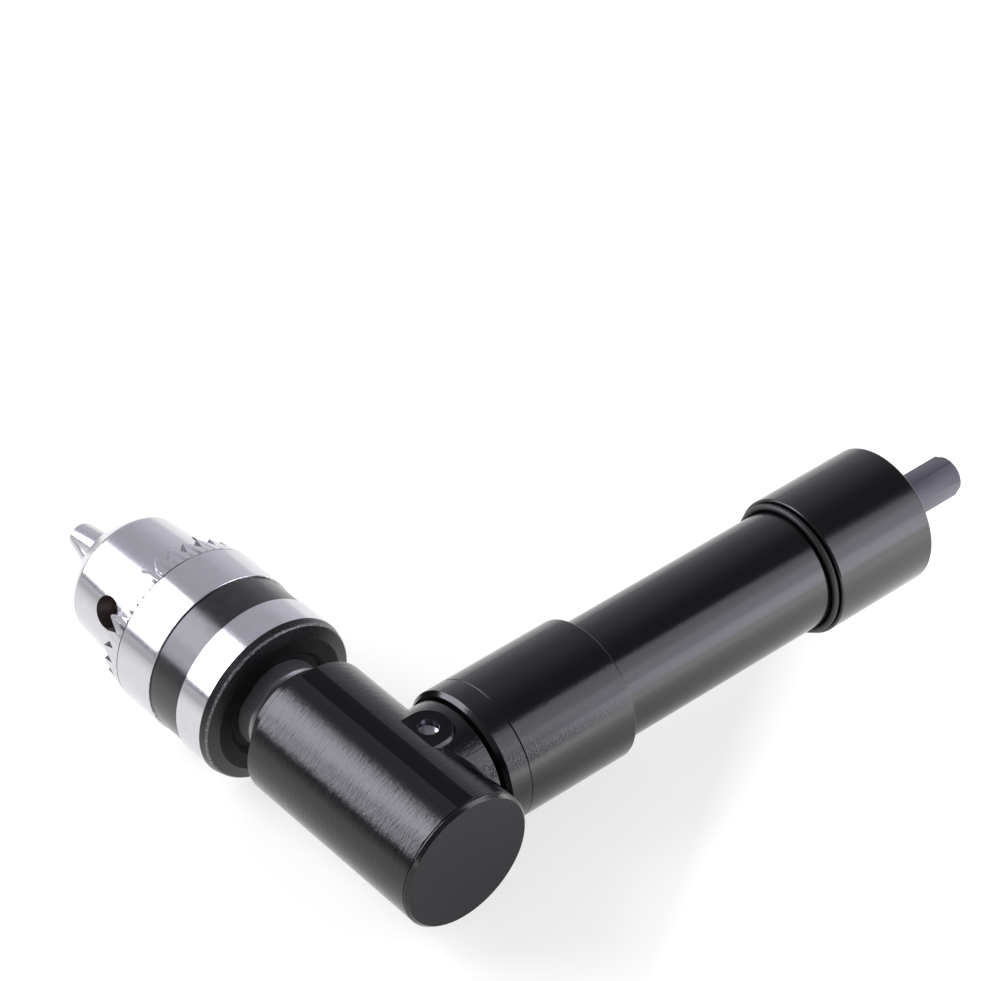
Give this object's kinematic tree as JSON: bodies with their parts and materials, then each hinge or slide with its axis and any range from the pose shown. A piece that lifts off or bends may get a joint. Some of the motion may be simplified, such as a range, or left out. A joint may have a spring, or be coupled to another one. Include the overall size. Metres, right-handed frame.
{
  "type": "right angle drill attachment",
  "caption": "Right angle drill attachment: hex shank, round handle and bevel gear head that turn a keyed three-jaw chuck at ninety degrees.",
  "frame": {"origin": "where the spindle axis and the handle axis cross, inside the gear head", "axes": "+X along the handle to the hex shank, +Y along the spindle to the chuck's nose, +Z the side of the drilled lug"},
  "size_m": [0.1584, 0.113, 0.034],
  "materials": {
    "head_black": "semi-gloss black paint",
    "cap_grey": "flat dark grey with a fine grain",
    "ring_black": "satin black",
    "collar_black": "gloss black paint",
    "tube_black": "gloss black paint",
    "trim_rubber": "soft black",
    "retainer_black": "black oxide",
    "bearing_steel": "ground and polished",
    "cage_brass": "pressed sheet",
    "spring_steel": "phosphated",
    "spindle_steel": "turned",
    "gear_steel": "hardened",
    "chuck_steel": "polished bands on black oxide",
    "sleeve_steel": "polished",
    "nut_steel": "hardened",
    "jaw_steel": "ground",
    "shank_steel": "dark, matte"
  },
  "bodies": {
    "housing": {"head_housing": "head_black", "end_cap": "cap_grey", "front_retainer": "retainer_black", "front_seal": "trim_rubber", "lock_ring": "ring_black", "front_collar": "collar_black", "grip_tube": "tube_black", "rear_collar": "collar_black", "rear_bead": "trim_rubber", "dust_washer": "spring_steel", "neck_circlip": "spring_steel", "shank_circlip": "spring_steel", "front_outer_ring": "bearing_steel", "rear_outer_ring": "bearing_steel", "neck_outer_ring": "bearing_steel", "handle_outer_ring": "bearing_steel"},
    "spindle": {"spindle": "spindle_steel", "output_gear": "gear_steel", "gear_pin": "gear_steel", "spindle_circlip": "spring_steel", "front_inner_ring": "bearing_steel", "rear_inner_ring": "bearing_steel", "chuck_body": "chuck_steel", "chuck_screw": "nut_steel"},
    "sleeve": {"chuck_sleeve": "sleeve_steel", "nut_half_a": "nut_steel", "nut_half_b": "nut_steel"},
    "jaw_a": {"jaw_a": "jaw_steel"},
    "jaw_b": {"jaw_b": "jaw_steel"},
    "jaw_c": {"jaw_c": "jaw_steel"},
    "input": {"input_shaft": "shank_steel", "input_pinion": "gear_steel", "pinion_pin": "gear_steel", "shaft_circlip_front": "spring_steel", "shaft_circlip_rear": "spring_steel", "neck_inner_ring": "bearing_steel", "handle_inner_ring": "bearing_steel"},
    "front_race": {"front_balls": "bearing_steel", "front_cage": "cage_brass"},
    "rear_race": {"rear_balls": "bearing_steel", "rear_cage": "cage_brass"},
    "neck_race": {"neck_balls": "bearing_steel", "neck_cage": "cage_brass"},
    "handle_race": {"handle_balls": "bearing_steel", "handle_cage": "cage_brass"}
  },
  "joints": [
    {"name": "spindle_spin", "type": "hinge", "parent": "housing", "child": "spindle", "pos_m": [0, 0, 0], "axis": [0, 1, 0], "continuous": true},
    {"name": "input_spin", "type": "hinge", "parent": "housing", "child": "input", "pos_m": [0, 0, 0], "axis": [1, 0, 0], "continuous": true},
    {"name": "front_race_roll", "type": "hinge", "parent": "housing", "child": "front_race", "pos_m": [0, 0, 0], "axis": [0, 1, 0], "continuous": true},
    {"name": "rear_race_roll", "type": "hinge", "parent": "housing", "child": "rear_race", "pos_m": [0, 0, 0], "axis": [0, 1, 0], "continuous": true},
    {"name": "neck_race_roll", "type": "hinge", "parent": "housing", "child": "neck_race", "pos_m": [0, 0, 0], "axis": [1, 0, 0], "continuous": true},
    {"name": "handle_race_roll", "type": "hinge", "parent": "housing", "child": "handle_race", "pos_m": [0, 0, 0], "axis": [1, 0, 0], "continuous": true},
    {"name": "sleeve_turn", "type": "hinge", "parent": "spindle", "child": "sleeve", "pos_m": [0, 0, 0], "axis": [0, 1, 0], "range_deg": [0, 5140]},
    {"name": "jaw_a_slide", "type": "slide", "parent": "spindle", "child": "jaw_a", "axis": [-0.0325, -0.9724, 0.2312], "range_m": [0, 0.02142]},
    {"name": "jaw_b_slide", "type": "slide", "parent": "spindle", "child": "jaw_b", "axis": [0.2164, -0.9724, -0.0874], "range_m": [0, 0.02142]},
    {"name": "jaw_c_slide", "type": "slide", "parent": "spindle", "child": "jaw_c", "axis": [-0.184, -0.9724, -0.1437], "range_m": [0, 0.02142]}
  ],
  "couplings": [
    {"joint": "input_spin", "follows": "spindle_spin", "ratio": -1},
    {"joint": "front_race_roll", "follows": "spindle_spin", "ratio": 0.39313},
    {"joint": "rear_race_roll", "follows": "spindle_spin", "ratio": 0.367},
    {"joint": "neck_race_roll", "follows": "spindle_spin", "ratio": -0.38389},
    {"joint": "handle_race_roll", "follows": "spindle_spin", "ratio": -0.367},
    {"joint": "jaw_a_slide", "follows": "sleeve_turn", "m_per_rad": 0.00023873},
    {"joint": "jaw_b_slide", "follows": "sleeve_turn", "m_per_rad": 0.00023873},
    {"joint": "jaw_c_slide", "follows": "sleeve_turn", "m_per_rad": 0.00023873}
  ]
}
